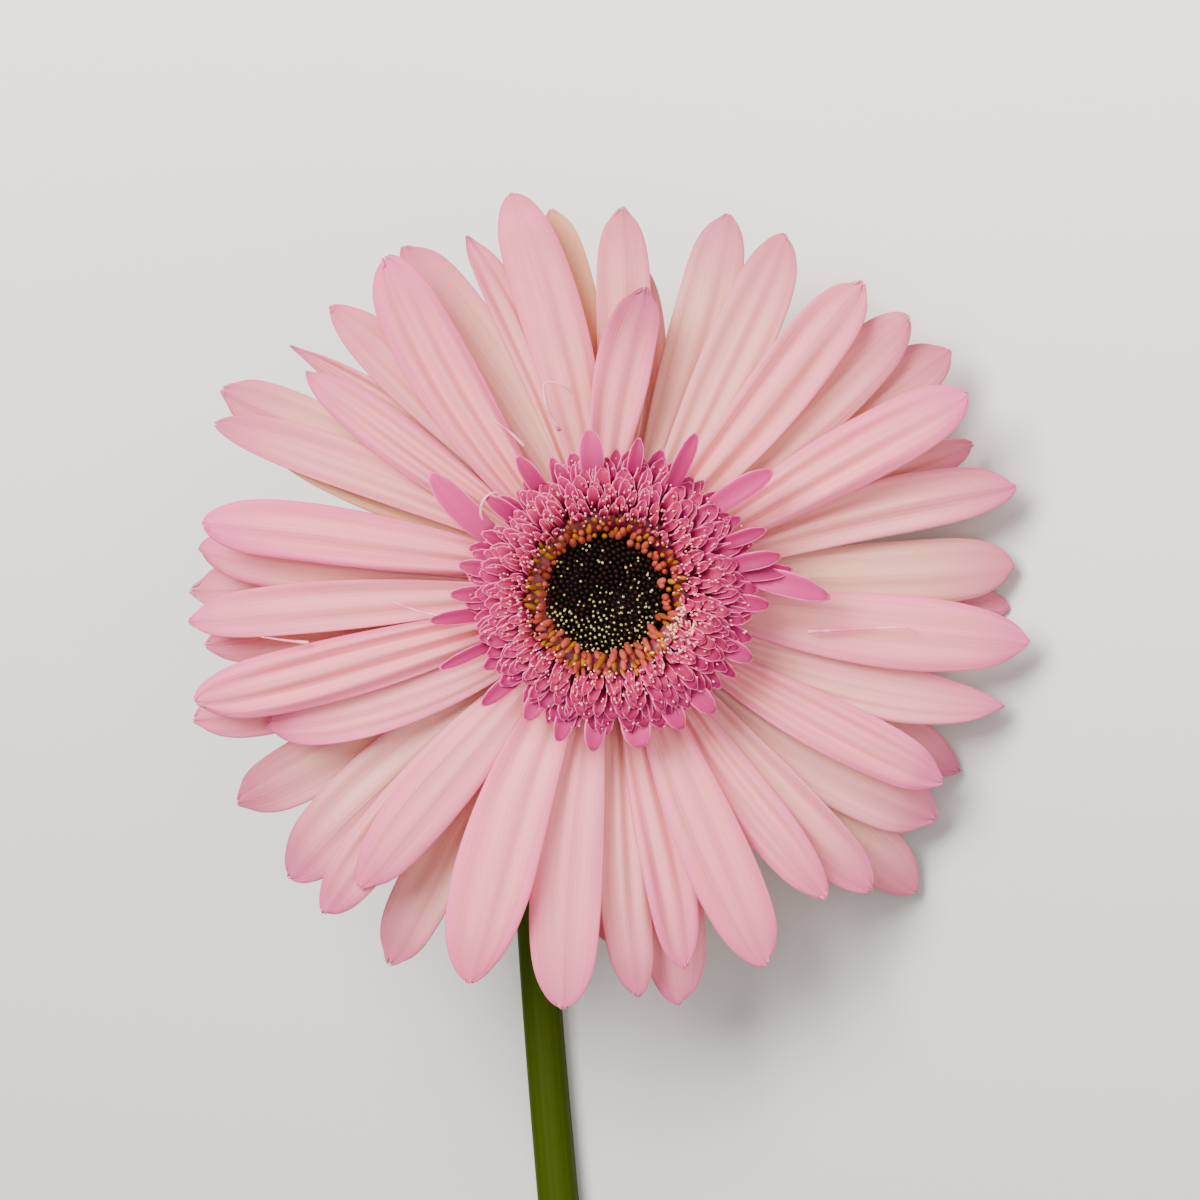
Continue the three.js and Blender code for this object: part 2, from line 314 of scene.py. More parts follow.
def petal_finish(looks, name, back):
    """Soft petal tissue: deeper at the tip and edges, creamy in the middle, finely veined. Painted
    shade makes the petals under others paler, the roots creamier and the dim petals tan or mauve,
    and streaks the grooves.
    """
    f = Finish(name, 0.12)
    f.let_light_in(looks.petal_glow, (0.0012, 0.0005, 0.0005))
    edge, length = f.across_and_along()
    tan, pale, mauve = f.tints()
    veins = f.noise(f.scattered((26, 1.1, 1)), 1, 3, 0.6)
    shade_streaks = f.noise(f.scattered((7, 0.8, 1)), 1, 2)
    broad = f.noise(f.scattered((2.6, 1.6, 1)), 1, 2)
    middle = (1 - edge.between(0.3, 0.95)) * (broad.between(0.25, 0.65) * 0.6 + 0.4)
    # The cream in the middle is the petal's own tone; the cream towards the root is painted shade
    # where the petals run in under the florets and one another.
    root_shade = 1 - length.between(0.15, 0.6)
    cream = (middle * (1 - length.between(0.6, 0.95) * 0.6) + root_shade * 0.4).clamped()
    body = f.mix(cream * 0.9, tuple(looks.petal_colour), tuple(looks.petal_cream))
    if back:
        body = f.mix(0.45, body, tuple(looks.petal_cream))
    # Painted shade: the petals that lie under others turn paler and duller towards their roots.
    body = f.mix(pale * (1 - length.between(0.5, 1.1) * 0.7), body, tuple(looks.petal_under_shade))
    ends = length.between(0.5, 1.02) * 0.6 + length.between(0.93, 1.0) * 0.3
    ends = ends + edge.between(0.78, 1.02) * 0.3
    body = f.mix(ends.clamped() * (0.4 if back else 0.95), body, tuple(looks.petal_tip))
    body = f.mix(veins.between(0.45, 0.8) * 0.34, body, tuple(looks.petal_vein))
    # Painted shade: soft lengthwise streaks of the dull mauve, standing in for the shade in the
    # grooves between the ridges.
    body = f.mix(shade_streaks.between(0.48, 0.72) * 0.3, body, tuple(looks.petal_shade))
    # Tan: partly the petals' own colour, partly painted shade on the dimmer petals towards the top
    # of the head.
    body = f.mix(tan, body, tuple(looks.petal_tan))
    # Dull mauve towards the tips: partly the petals' own colour, partly painted shade on the lower
    # petals and on ray_12.
    shade = mauve * (0.15 + length.between(0.4, 1.0) * 0.85)
    body = f.mix(shade.clamped(), body, tuple(looks.petal_shade))
    f.set("Base Color", body)
    f.set("Roughness", veins * 0.2 + 0.45)
    f.bump(veins, 0.00018)
    return f.material


def floret_finish(looks):
    """Trans florets: mauve straps with a pale rim."""
    f = Finish("floret_tissue", 0.12)
    f.let_light_in(0.1, (0.0009, 0.0004, 0.0005))
    edge, length = f.across_and_along()
    age, pale, _ = f.tints()
    sides = edge.between(0.84, 0.99) * length.between(0.3, 0.6)
    rim = (sides + length.between(0.93, 1.0)).clamped()
    flesh = f.mix(age, tuple(looks.floret_colour), tuple(looks.floret_young))
    streak = f.noise(f.surface((9, 1.5, 1)), 1, 2)
    flesh = f.mix(streak.between(0.4, 0.75) * 0.35, flesh, tuple(looks.floret_deep))
    foot = 1 - length.between(0.2, 0.55)
    flesh = f.mix(foot * 0.55, flesh, tuple(looks.floret_deep))
    flesh = f.mix(pale, flesh, tuple(looks.floret_pale))
    f.set("Base Color", f.mix(rim * 0.85, flesh, tuple(looks.floret_rim)))
    f.bump(streak, 0.0001, 0.4)
    return f.material


def plain_finish(name, colour, deep, grain, roughness=0.5):
    """A small organic part whose colour drifts between two tones."""
    f = Finish(name)
    drift = f.noise(f.place(), grain, 3)
    f.set("Base Color", f.mix(drift.between(0.35, 0.65), tuple(colour), tuple(deep)))
    f.set("Roughness", drift * 0.25 + (roughness - 0.12))
    f.bump(drift, 0.00008)
    return f.material


def tinted_finish(name, colour, other, deep, grain):
    """As plain_finish, with a second colour that each small part takes by its own tint."""
    f = Finish(name, 0.1)
    drift = f.noise(f.place(), grain, 2)
    flesh = f.mix(f.tints()[0], tuple(colour), tuple(other))
    f.set("Base Color", f.mix(drift.between(0.4, 0.75) * 0.6, flesh, tuple(deep)))
    f.set("Roughness", drift * 0.3 + 0.35)
    f.bump(drift, 0.00006)
    return f.material


def table_finish(colour):
    """A matt surface, with painted shade that makes it a little darker towards the cut end of the
    stem.
    """
    f = Finish("table_surface", 0.1)
    f.set("Roughness", 0.85)
    along_y = f.parts(f.place())[1]
    # Painted shade: darker towards the cut end of the stem, as if less light fell there.
    darker = tuple(c * 0.62 for c in colour)
    f.set("Base Color", f.mix(along_y.between(-0.02, 0.22), darker, tuple(colour)))
    return f.material


def leaf_finish(looks, name, rim):
    """Green skin with fine lengthwise ribs."""
    f = Finish(name, 0.05)
    ribs = f.noise(f.surface((22, 2.5, 1)), 1, 3, 0.6)
    patches = f.noise(f.place(), 60, 3)
    flesh = f.mix(ribs.between(0.35, 0.7) * 0.5, tuple(looks.green), tuple(looks.green_deep))
    flesh = f.mix(patches.between(0.45, 0.75) * 0.35, flesh, tuple(looks.green_light))
    if rim:
        edge, _ = f.across_and_along()
        flesh = f.mix(edge.between(0.8, 1.0) * 0.5, flesh, tuple(looks.green_light))
    f.set("Base Color", flesh)
    f.set("Roughness", ribs * 0.2 + 0.42)
    f.bump(ribs, 0.0002)
    return f.material


# -------------------------------------------------------------------------------------------------
# Making pieces
# -------------------------------------------------------------------------------------------------
def as_tint(tint):
    """A tint of up to three shares."""
    return Vector(tint).to_3d() if hasattr(tint, "__len__") else Vector((tint, 0, 0))


class Sheet:
    """Many small shapes gathered in one mesh, with a UV map and a tint for each."""

    def __init__(self, name):
        self.name = name
        self.mesh = bmesh.new()
        self.uv = self.mesh.loops.layers.uv.new("UVMap")
        self.tint = self.mesh.verts.layers.float_vector.new("tint")

    def grid(self, across, length, place, tint=0.0):
        """A grid of quads, each corner put by place(v from -1 to 1, u from 0 to 1)."""
        made = bmesh.ops.create_grid(
            self.mesh, x_segments=across, y_segments=length, size=1, calc_uvs=True
        )
        for vert in made["verts"]:
            vert[self.tint] = as_tint(tint)
            vert.co = place(-vert.co.x, (vert.co.y + 1) / 2)
        return made["verts"]

    def tube(self, around, length, place, tint=0.0):
        """A grid closed round on itself, with its ends filled."""
        verts = self.grid(around, length, place, tint)
        bmesh.ops.remove_doubles(self.mesh, verts=verts, dist=1e-7)
        rims = [e for v in verts if v.is_valid for e in v.link_edges if e.is_boundary]
        bmesh.ops.holes_fill(self.mesh, edges=list(dict.fromkeys(rims)), sides=0)

    def ring(self, profile, sides=60):
        """A closed ring round the middle of the head, through (radius, height) stops.

        The stops run up the outside and down the inside.
        """

        def place(v, u):
            i = round(u * (len(profile) - 1))
            return HEAD.at(profile[i][0], 180 * (v + 1), profile[i][1])

        self.tube(sides, len(profile) - 1, place)

    def bead(self, centre, size, squash, axis, tint=0.0, small=False):
        """A small round body, squash times as long along axis. A small one has fewer faces."""
        made = bmesh.ops.create_icosphere(self.mesh, subdivisions=1 if small else 2, radius=1)
        turn = axis.to_track_quat("Z", "Y").to_matrix()
        for vert in made["verts"]:
            vert[self.tint] = as_tint(tint)
            local = Vector((vert.co.x * size, vert.co.y * size, vert.co.z * size * squash))
            vert.co = centre + turn @ local

    def finish(self, *materials, recalc=True):
        """Makes the mesh a smooth object with these materials. Only closed shapes want recalc."""
        if recalc:
            bmesh.ops.recalc_face_normals(self.mesh, faces=self.mesh.faces)
        data = bpy.data.meshes.new(self.name)
        self.mesh.to_mesh(data)
        self.mesh.free()
        for material in materials:
            data.materials.append(material)
        for face in data.polygons:
            face.use_smooth = True
        made = bpy.data.objects.new(self.name, data)
        bpy.context.scene.collection.objects.link(made)
        return made


def thicken(piece, thickness, backing=0, levels=0):
    """Gives a sheet its thickness, away from its face, and rounds it off."""
    wall = piece.modifiers.new("thickness", "SOLIDIFY")
    wall.thickness = thickness * MM
    wall.offset = -1
    wall.material_offset = backing
    if levels:
        soft = piece.modifiers.new("rounding", "SUBSURF")
        soft.levels = soft.render_levels = levels


def settle(piece, slot, *nodes):
    """Puts a piece on the flower, where it stands for these design nodes, which it hides. The slot
    is not used.
    """
    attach(piece, "root")
    if nodes:
        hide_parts(*nodes)


# -------------------------------------------------------------------------------------------------
# Settings
# -------------------------------------------------------------------------------------------------
def colour(name, description, default):
    return FloatVectorProperty(
        name=name, description=description, default=default, subtype="COLOR", size=3, min=0, max=1
    )


def length(name, description, default):
    return FloatProperty(
        name=name, description=description, default=default, unit="LENGTH", precision=5
    )


def power(name, description, default):
    return FloatProperty(name=name, description=description, default=default, unit="POWER")


class PetalSettings(bpy.types.PropertyGroup):
    """Sizes and colours of the ray petals."""

    petal_thickness: length("Thickness", "Thickness of a ray petal", 0.00032)
    ridge_height: length("Ridges", "Height of the ridges along a petal", 0.0006)
    petal_glow: FloatProperty(
        name="Glow", description="Light let through a petal", default=0.18, subtype="FACTOR"
    )
    petal_colour: colour("Petal", "Main colour of a petal", (0.95, 0.145, 0.32))
    # Cream: the petals' own tone in their middles and on their backs, and painted shade towards
    # their roots.
    petal_cream: colour("Petal, cream", "Colour of a petal's middle and root", (0.94, 0.27, 0.30))
    # Painted shade: the pale, dull colour that stands in for the shade on the petals lying under
    # others.
    petal_under_shade: colour("Petal, pale", "Colour of the petals under others", (0.80, 0.43, 0.34))
    petal_tip: colour("Petal tip", "Colour of the tips and edges", (0.66, 0.10, 0.28))
    petal_vein: colour("Veins", "Colour of the fine veins", (0.72, 0.10, 0.19))
    # Dull mauve: partly the real dull tips of some petals, partly painted shade on the lower petals,
    # on ray_12 and in the grooves.
    petal_shade: colour("Petal, dull", "Colour of dull mauve tips and grooves", (0.42, 0.085, 0.16))
    # Tan: partly the real colour of some petals' backs, partly painted shade on the dimmer petals
    # towards the top of the head.
    petal_tan: colour("Petal, back", "Colour of the dullest petals", (0.62, 0.33, 0.17))


class FloretSettings(bpy.types.PropertyGroup):
    """Colours of the florets in the middle."""

    floret_colour: colour("Floret", "Main colour of the trans florets", (0.31, 0.006, 0.085))
    floret_young: colour("Young floret", "Colour of the innermost florets", (0.40, 0.018, 0.06))
    floret_deep: colour("Floret, deeper", "Colour at the foot of the florets", (0.22, 0.005, 0.05))
    floret_pale: colour("Pale floret", "Colour of the largest trans florets", (0.50, 0.035, 0.165))
    floret_rim: colour("Floret rim", "Colour of the pale rims", (0.86, 0.15, 0.32))
    bud_pink: colour("Bud", "Colour of the unopened florets", (0.29, 0.044, 0.020))
    bud_gold: colour("Gold bud", "Colour of the golden florets", (0.24, 0.065, 0.001))
    disc_colour: colour("Disc", "Colour of the disc florets", (0.004, 0.0012, 0.0006))
    pollen_colour: colour("Pollen", "Colour of the pollen", (0.30, 0.28, 0.06))


class GreenSettings(bpy.types.PropertyGroup):
    """Colours of the stem and bracts."""

    green: colour("Green", "Main colour of the stem", (0.032, 0.049, 0.0005))
    green_deep: colour("Green, deeper", "Colour between the stem's ribs", (0.016, 0.027, 0.0003))
    green_light: colour("Green, lighter", "Colour of the lighter patches", (0.036, 0.050, 0.0015))
    pith: colour("Pith", "Colour of the cut end", (0.36, 0.42, 0.12))


class StageSettings(bpy.types.PropertyGroup):
    """The table, the lights and the camera."""

    floor_colour: colour("Floor", "Colour of the table", (0.85, 0.83, 0.78))
    view_distance: length("Distance", "From the camera to the flower head", 0.9)
    view_width: length("View width", "Width of what the camera sees at the flower head", 0.1568)
    key_power: power("Key light", "Power of the main light", 42.0)
    front_power: power("Front light", "Power of the light by the camera", 5.0)
    fill_power: power("Fill light", "Power of the soft light", 9.0)


# -------------------------------------------------------------------------------------------------
# Ray petals
# -------------------------------------------------------------------------------------------------
WIDEST_AT = 0.66  # how far along it a petal is widest
PETAL_ROWS = 30
PETAL_COLUMNS = 16

# How some petals differ from the ordinary ones: width (share of the design solid's), point (of the
# tip, 0 to 1), ridges (waves across), depth of the ridges, cup (edges up, or down when negative),
# roll in degrees, bow and hook (the middle and the tip to one side, in millimetres), fold (where
# across it a crease runs, from -1 to 1), tan and mauve (share of those colours, less than 0 for
# none). Tan and mauve are partly the petals' own colours and partly painted shade: the tan of the
# petals towards the top of the head, and the mauve of ray_12, stand in for the light they lack.
HABITS = {
    "ray_01": {"width": 1.2, "point": 0, "depth": 0.4, "cup": -0.1, "tan": 0.3, "bow": -0.8},
    "ray_02": {"width": 1.22, "point": 0.15, "ridges": 2.2, "depth": 0.9, "roll": 6, "bow": 0.8},
    "ray_03": {"width": 1.15, "cup": 0.45, "ridges": 2.0},
    "ray_04": {"width": 1.24, "point": 0.05, "ridges": 3.0, "depth": 1.0, "roll": -4},
    "ray_05": {"point": 0, "tan": 0.15},
    "ray_06": {"point": 0.1, "depth": 0.3, "tan": 0.15},
    "ray_07": {"width": 1.24, "ridges": 2.2, "depth": 1.1, "point": 0.12, "tan": 0.22},
    "ray_08": {"point": 0.15, "ridges": 3, "depth": 0.5, "tan": 0.25},
    "ray_09": {"point": 0.1, "ridges": 2.4, "depth": 0.5, "tan": 0.25},
    "ray_11": {"width": 1.1, "point": 0.1, "ridges": 2, "depth": 0.4, "cup": -0.1, "tan": 0.2},
    # ray_12's dull mauve is painted shade, for a raised petal that the light reaches little.
    "ray_12": {
        "width": 1.5, "point": 0.1, "ridges": 2.4, "depth": 0.4, "cup": 0.1, "roll": 14, "tan": 0.1,
        "mauve": 0.9,
    },
    "ray_13": {"width": 1.1, "tan": 0.85, "cup": 0, "depth": 0.2, "mauve": -0.4},
    "ray_14": {"width": 1.26, "point": 0.12, "depth": 0.4, "cup": -0.12, "tan": 0.15},
    "ray_15": {"point": 0.35, "tan": 0.1},
    "ray_16": {"width": 1.25, "point": 0.12, "depth": 0.35, "tan": 0.12},
    "ray_17": {"width": 1.22, "point": 0.06, "ridges": 3.1, "depth": 1.15, "roll": 6, "tan": 0.08},
    "ray_18": {"point": 0.35},
    "ray_19": {"width": 1.0, "point": 0.8, "cup": 0.4},
    "ray_20": {"width": 1.2, "point": 0.4, "ridges": 3.0, "depth": 0.9, "hook": 0.6},
    "ray_21": {"point": 0.05, "tan": 0.1},
    "ray_22": {"point": 0.25, "ridges": 2.2, "depth": 0.8},
    "ray_23": {"tan": 0.7, "mauve": -0.4},
    "ray_24": {
        "width": 1.25, "point": 0.02, "ridges": 2.6, "depth": 0.8, "cup": -0.15, "roll": 8,
        "tan": 0,
    },
    "ray_25": {"width": 1.2, "point": 0.9, "depth": 0.4},
    "ray_28": {"width": 1.2, "ridges": 2, "depth": 0.5, "cup": 0},
    "ray_30": {"width": 1.22, "point": 0.08, "ridges": 3.1, "depth": 1.2, "roll": 4},
    "ray_32": {"width": 1.3, "point": 0.05, "ridges": 4.2, "depth": 0.25, "cup": -0.1},
    "ray_33": {"mauve": 0.25, "point": 0.02},
    "ray_34": {"mauve": 0.3, "point": 0.05},
    "ray_35": {"mauve": 0.2, "point": 0.05},
    "ray_36": {"width": 1.4, "point": 0.3, "depth": 0.15, "cup": -0.08},
    "ray_37": {"point": 0.05, "width": 1.16},
    "ray_38": {"width": 1.22, "point": 0.3, "ridges": 2.2, "depth": 0.6, "fold": 0.32},
    "ray_39": {"width": 1.2, "point": 0.15, "ridges": 2.8, "depth": 0.35, "tan": 0.1},
    "ray_44": {"width": 1.22, "point": 0.2, "ridges": 3, "depth": 0.5, "tan": 0.12},
    "ray_45": {"width": 1.16, "point": 0.35, "ridges": 3, "depth": 0.8, "cup": 0.05},
    "ray_49": {"width": 1.16, "point": 0.15, "ridges": 3.1, "depth": 0.9, "cup": 0.05},
    "ray_50": {"mauve": 0.5, "point": 0.3},
    "ray_51": {"width": 1.16, "point": 0.5, "ridges": 4.4, "depth": 0.5, "cup": -0.1},
    "ray_52": {"width": 1.2, "point": 0.3, "ridges": 3, "depth": 0.4, "cup": -0.12, "fold": 0.1},
}
FLOOR_GAP = 0.45 * MM  # the least height of a petal's face above the table
TOP_TIER = -1.0  # height of the roots of the uppermost petals, in millimetres
TIER_SPREAD = 4.6  # and how far below it the lowest petals are rooted
CREASE = 0.55 * MM  # height of the step at a crease


def petal_width(u, point):
    """The share of its greatest width that a petal has, from its root to its tip."""
    if u < WIDEST_AT:
        return lerp(0.36, 1, math.sin(math.pi / 2 * u / WIDEST_AT) ** 0.9)
    t = (u - WIDEST_AT) / (1 - WIDEST_AT)
    return max(0.1, lerp(math.sqrt(max(0.0, 1 - t**3.5)), 1 - t**1.4, point))


def petal_shape(node, rng, ridge_height):
    """place(v, u) of a ray petal: where each point across and along it lies."""
    stops, half = ray_course(node)
    habit = HABITS.get(node, {})
    draw = {
        "width": rng.uniform(1.16, 1.26),
        "ridges": rng.choice([2.0, 2.6, 3.0, 3.0]),
        "depth": rng.uniform(0.35, 0.95),
        "cup": rng.uniform(-0.16, 0.14),
        "roll": rng.uniform(-8, 8),
        "curl": rng.uniform(-1.2, 0.4),
        "bow": rng.uniform(-0.5, 0.5),
        "hook": rng.uniform(-0.5, 0.5),
        "point": rng.uniform(0.0, 0.14),
        "wave": rng.uniform(0.15, 0.6),
        "notch": rng.uniform(0.1, 0.45),
    }
    draw.update(habit)
    half *= draw["width"]
    depth = draw["depth"] * ridge_height
    roll = math.radians(draw["roll"])
    tip_roll = roll * 0.4 + math.radians(rng.uniform(-12, 12))
    phase = rng.uniform(-0.5, 0.5)
    wave = rng.uniform(0, 6.28)
    skew = rng.uniform(-0.35, 0.35) * MM
    teeth = rng.choice([0, math.pi]) + rng.uniform(-0.6, 0.6)

    def place(v, t):
        u = 1 - (1 - t) ** 1.5
        middle = along(stops, u)
        course = heading(stops, u, 0.02)
        side = HEAD.out.cross(course).normalized()
        up = course.cross(side)
        rolled = lerp(roll * smooth(u * 2), tip_roll, smooth(u * 1.4 - 0.4))
        turn = Matrix.Rotation(rolled, 3, course)
        side, up = turn @ side, turn @ up
        width = half * petal_width(u, draw["point"]) * MM
        tip = smooth((u - 0.86) / 0.14)
        fade = smooth(u * 4 + 0.1) * lerp(1, 0.15, smooth((u - 0.62) / 0.36))
        wander = v + 0.05 * math.sin(5 * u + wave)
        relief = depth * math.cos(math.pi * draw["ridges"] * wander + phase) * fade
        if "fold" in draw:
            relief += CREASE * smooth((v - draw["fold"] - 0.25 * u) * 5 + 0.5) * fade
        ripple = math.sin(8 * u + wave + (2 if v > 0 else 0))
        edge = draw["wave"] * MM * abs(v) ** 3 * ripple * fade
        bowl = draw["cup"] * width * v * v
        end = tip * (draw["curl"] - 0.3 * v * v) * MM
        hook = draw["hook"] * smooth((u - 0.55) / 0.45) ** 2
        bend = (draw["bow"] * math.sin(math.pi * u) + hook) * MM
        notches = math.cos(3 * math.pi * v + teeth) * smooth((u - 0.94) / 0.06)
        lobes = draw["notch"] * MM * notches
        back = lobes + skew * v * tip - 0.25 * MM * v * v * tip
        point = middle + side * (v * width + bend) + course * back
        point += up * (relief + edge + bowl + end)
        point.z = max(point.z, FLOOR_GAP)
        return point

    return place


class GERBERA_OT_petals(bpy.types.Operator):
    """Makes the ray petals"""

    bl_idname = "gerbera.petals"
    bl_label = "Ray petals"

    def execute(self, context):
        looks = context.scene.gerbera_petals
        face = petal_finish(looks, "petal_face", back=False)
        back = petal_finish(looks, "petal_back", back=True)
        rng = random.Random(SEED)
        for node in RAY_NODES:
            sheet = Sheet(node.replace("ray", "petal"))
            shape = petal_shape(node, rng, looks.ridge_height)
            habit = HABITS.get(node, {})
            depth = (TOP_TIER - HEAD.reading(shape(0, 0))[2]) / TIER_SPREAD
            # Tan is partly painted shade: the petals towards the top of the head carry some for the
            # light they lack.
            tan = habit.get("tan", rng.uniform(0, 0.1))
            # Part of the mauve is painted shade: it deepens on the petals lying under others.
            mauve = habit.get("mauve", rng.uniform(0, 0.25)) + 0.5 * smooth(depth)
            # The second share is painted shade: the pale colour of the petals lying under others,
            # more the lower they are rooted.
            tint = tan, 0.05 + 0.9 * smooth(depth), mauve
            sheet.grid(PETAL_COLUMNS, PETAL_ROWS, shape, tint)
            piece = sheet.finish(face, back, recalc=False)
            thicken(piece, looks.petal_thickness / MM, backing=1, levels=1)
            settle(piece, "petal", node)
        return {"FINISHED"}


# -------------------------------------------------------------------------------------------------
# Small straps: trans florets and bracts
# -------------------------------------------------------------------------------------------------
FLORET_THICKNESS = 0.12  # in millimetres, as is the next
BRACT_THICKNESS = 0.4


def strap(course, bearing, sweep, half, channel, shift=Vector(), blade=(0.45, 0.68, 3.4)):
    """place(v, u) of a small strap.

    Its course is the (radius, height) of its root, of a point that it bends towards and of its
    tip. Its blade gives the share of its width at the root, where along it that is greatest and
    how sharply it narrows from there. The channel along its middle is a share of its width.
    """
    root, bend, tip = (Vector((radius, height)) for radius, height in course)
    base, widest, sharp = blade

    def middle(u):
        flat = root * (1 - u) ** 2 + bend * (2 * u * (1 - u)) + tip * (u * u)
        return HEAD.at(flat.x, bearing + sweep * u, flat.y) + shift

    def place(v, t):
        u = 1 - (1 - t) ** 1.35
        ahead = (middle(min(1, u + 0.05)) - middle(max(0, u - 0.05))).normalized()
        side = HEAD.across(bearing + sweep * u + 90)
        up = ahead.cross(side).normalized()
        swell = lerp(base, 1, smooth((u - 0.2) / (widest - 0.2)))
        taper = 1 - 0.86 * max(0.0, (u - widest) / (1 - widest)) ** sharp
        width = half * swell * taper * MM
        return middle(u) + side * (v * width) + up * (channel * width * v * v)

    return place


def lean(bearing, outward):
    """The direction that stands on the head's face and leans outwards."""
    return (HEAD.out + HEAD.across(bearing) * outward).normalized()


GOLDEN = 137.50776  # degrees from one floret to the next
TRANS_COUNT = 390
OPEN_COUNT = 60  # cream florets that have opened in a patch on one side
OPEN_BEARING = -28
DISC_COUNT = 400
DISC_SHIFT = (-1.1, -0.5)  # how far right and up the disc grows off the middle of the head
INNER_REACH = 10.5
OUTER_REACH = 19.2
FLORET_TOPS = [Vector((height, 0, 0)) for height in (5.9, 7.1, 7.3, 6.6, 5.4, 4.4)]
# The profile of the ring that the florets are rooted in.
BED_PROFILE = [
    (12.6, -3.0), (12.8, 0.0), (12.1, 2.2), (11.4, 3.6),
    (9.6, 3.8), (8.0, 3.0), (7.6, 0.2), (9.5, -3.0),
]
# The largest trans florets: bearing at the root and the tip, reach, half width, height of the tip.
LONG_FLORETS = [
    (60, 62, 23.2, 1.15, 8.5), (42, 37, 26, 1.6, 6.5), (24, 22, 21.5, 0.95, 6.5),
    (13, 12, 22.4, 1.15, 6.5), (8, 7, 23.6, 1.05, 5.6), (12, -1.5, 28.2, 1.7, 5.4),
    (356, 355, 20.5, 1.1, 5.5), (309, 310, 20.6, 1.4, 5), (280, 280, 20.6, 1.9, 4.6),
    (263, 263, 20.8, 1.4, 4.6), (250, 250, 20.6, 1.3, 4.8), (222, 221, 22.4, 1.1, 4.6),
    (203, 204, 24.5, 0.8, 4.4), (190, 189, 24, 1.0, 4.6), (181, 181, 21, 1.1, 5),
    (160, 147, 28.2, 1.95, 6.2), (125, 125, 21.4, 1.15, 6.6), (100, 98, 21.2, 1.6, 7.2),
    (142, 143, 20.4, 1.1, 6.4), (80, 80, 20.2, 0.95, 7), (335, 334, 20.2, 1.3, 5),
    (296, 297, 20, 1.4, 5), (236, 236, 20, 1.4, 4.8), (170, 170, 20.2, 1.1, 5.4),
]


def floret_height(radius):
    """The height of the florets' tips, this far from the middle."""
    return along(FLORET_TOPS, (radius - 10) / 10).x


def off_middle(share):
    """How far a part that follows the disc by this share lies off the middle of the head."""
    return (HEAD.right * DISC_SHIFT[0] + HEAD.up * DISC_SHIFT[1]) * share * MM


LONG_ROOT = 12
LONG_BLADE = (0.5, 0.66, 3.2)

# Pale threads that have split off the petals: the (radius, bearing, height) stops of each.
THREADS = [
    [(22, 108, 1.5), (25.5, 109.5, 2.8), (28.6, 107.8, 2.6), (27.4, 103.2, 2.4), (26.4, 101.4, 2.2)],
    [(18.6, 152, 5.0), (19.8, 149, 6.3), (20.4, 145, 6.8), (20.2, 141, 6.6), (19.4, 138.5, 6.0)],
    [(20.0, 189, 4.6), (23, 187.5, 3.6), (26, 185, 2.6), (28.4, 182.6, 2.3)],
    [(40, 189.5, 1.4), (42.5, 188.6, 1.7), (46, 187.3, 1.8)],
    [(26, 348.5, 0.6), (30, 350.5, 0.5), (34, 352, 0.5), (38.5, 353, 0.7), (40, 352.4, 0.6)],
    [(22, 121, 2.4), (24.5, 122.5, 2.8), (27, 124.5, 3.2)],
]


class GERBERA_OT_threads(bpy.types.Operator):
    """Makes the pale threads between the petals"""

    bl_idname = "gerbera.threads"
    bl_label = "Threads"

    def execute(self, context):
        looks = context.scene.gerbera_florets
        sheet = Sheet("petal_threads")
        for stops in THREADS:
            points = [HEAD.at(*stop) for stop in stops]

            def place(v, u):
                course = heading(points, u, 0.03)
                side = course.cross(HEAD.out).normalized()
                turn = math.pi * (v + 1)
                ring = side * (math.cos(turn) * 1.6) + side.cross(course) * math.sin(turn)
                return along(points, u) + ring * lerp(0.16, 0.05, u) * MM

            sheet.tube(6, 14, place)
        pale = plain_finish("thread_skin", (0.95, 0.36, 0.42), looks.floret_rim, 500)
        settle(sheet.finish(pale), "petal")
        return {"FINISHED"}


